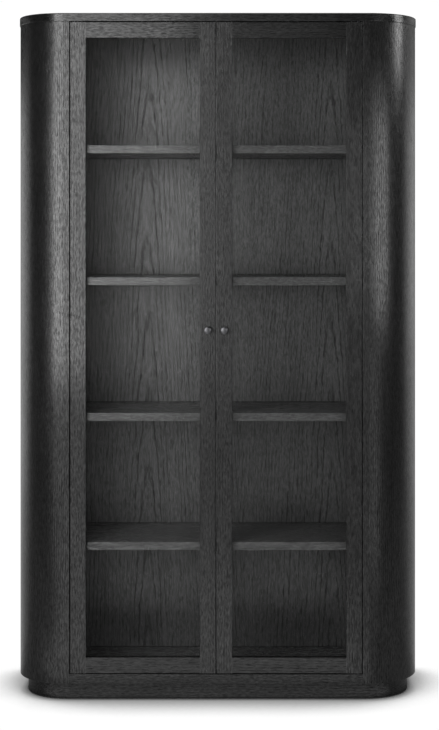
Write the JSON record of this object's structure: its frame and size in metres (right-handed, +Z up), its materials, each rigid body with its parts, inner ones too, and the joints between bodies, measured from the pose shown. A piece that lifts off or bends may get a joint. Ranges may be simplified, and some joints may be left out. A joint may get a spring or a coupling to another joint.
{
  "type": "curio cabinet",
  "caption": "Tall display cabinet with quarter-round front corners, glazed swing doors, open-grain black oak shelves and a recessed plinth.",
  "frame": {"origin": "on the floor, under the middle of the overall box, knobs included", "axes": "+X to the viewer's right, +Y to the back (wall side), +Z up"},
  "size_m": [1.25, 0.402, 2.11],
  "materials": {
    "black_oak": "satin black stain over open-grain oak",
    "raw_plywood": "bare birch plywood",
    "beech": "bare beech",
    "clear_glass": "clear polished",
    "gunmetal": "dark gunmetal",
    "hinge_steel": "blackened steel",
    "screw_steel": "zinc plated",
    "black_plastic": "moulded matt",
    "nylon": "smooth",
    "brass_insert": "plain turned"
  },
  "bodies": {
    "case": {"anchor_rail_screws": "screw_steel", "back_panel": "black_oak", "back_panel_screws": "screw_steel", "bottom_front_rail": "black_oak", "bottom_shelf": "black_oak", "case_dowels": "beech", "case_plate_screws": "screw_steel", "catch_screws": "screw_steel", "floor_glides": "nylon", "floor_panel": "black_oak", "hinge_pins": "hinge_steel", "left_inner_panel": "black_oak", "left_lower_case_plate": "hinge_steel", "left_magnetic_catch": "black_plastic", "left_side_formers": "raw_plywood", "left_side_shell": "black_oak", "left_upper_case_plate": "hinge_steel", "lower_middle_shelf": "black_oak", "plinth_back_board": "black_oak", "plinth_band": "black_oak", "plinth_fixing_blocks": "raw_plywood", "plinth_screws": "screw_steel", "right_inner_panel": "black_oak", "right_lower_case_plate": "hinge_steel", "right_magnetic_catch": "black_plastic", "right_side_formers": "raw_plywood", "right_side_shell": "black_oak", "right_upper_case_plate": "hinge_steel", "shelf_pins": "hinge_steel", "top_cap": "black_oak", "top_shelf": "black_oak", "upper_middle_shelf": "black_oak", "wall_anchor_inserts": "brass_insert", "wall_anchor_rail": "raw_plywood"},
    "left_door": {"left_door_bottom_rail": "black_oak", "left_door_glass": "clear_glass", "left_door_glass_beads": "black_oak", "left_door_knob": "gunmetal", "left_door_knob_screw": "screw_steel", "left_door_lower_leaf": "hinge_steel", "left_door_meeting_stile": "black_oak", "left_door_outer_stile": "black_oak", "left_door_screws": "screw_steel", "left_door_strike_plate": "hinge_steel", "left_door_top_rail": "black_oak", "left_door_upper_leaf": "hinge_steel"},
    "right_door": {"right_door_bottom_rail": "black_oak", "right_door_glass": "clear_glass", "right_door_glass_beads": "black_oak", "right_door_knob": "gunmetal", "right_door_knob_screw": "screw_steel", "right_door_lower_leaf": "hinge_steel", "right_door_meeting_stile": "black_oak", "right_door_outer_stile": "black_oak", "right_door_screws": "screw_steel", "right_door_strike_plate": "hinge_steel", "right_door_top_rail": "black_oak", "right_door_upper_leaf": "hinge_steel"}
  },
  "joints": [
    {"name": "left_door_hinge", "type": "hinge", "parent": "case", "child": "left_door", "pos_m": [-0.4355, -0.1695, 1.0835], "axis": [0, 0, -1], "range_deg": [0, 110]},
    {"name": "right_door_hinge", "type": "hinge", "parent": "case", "child": "right_door", "pos_m": [0.4355, -0.1695, 1.0835], "axis": [0, 0, 1], "range_deg": [0, 110]}
  ]
}
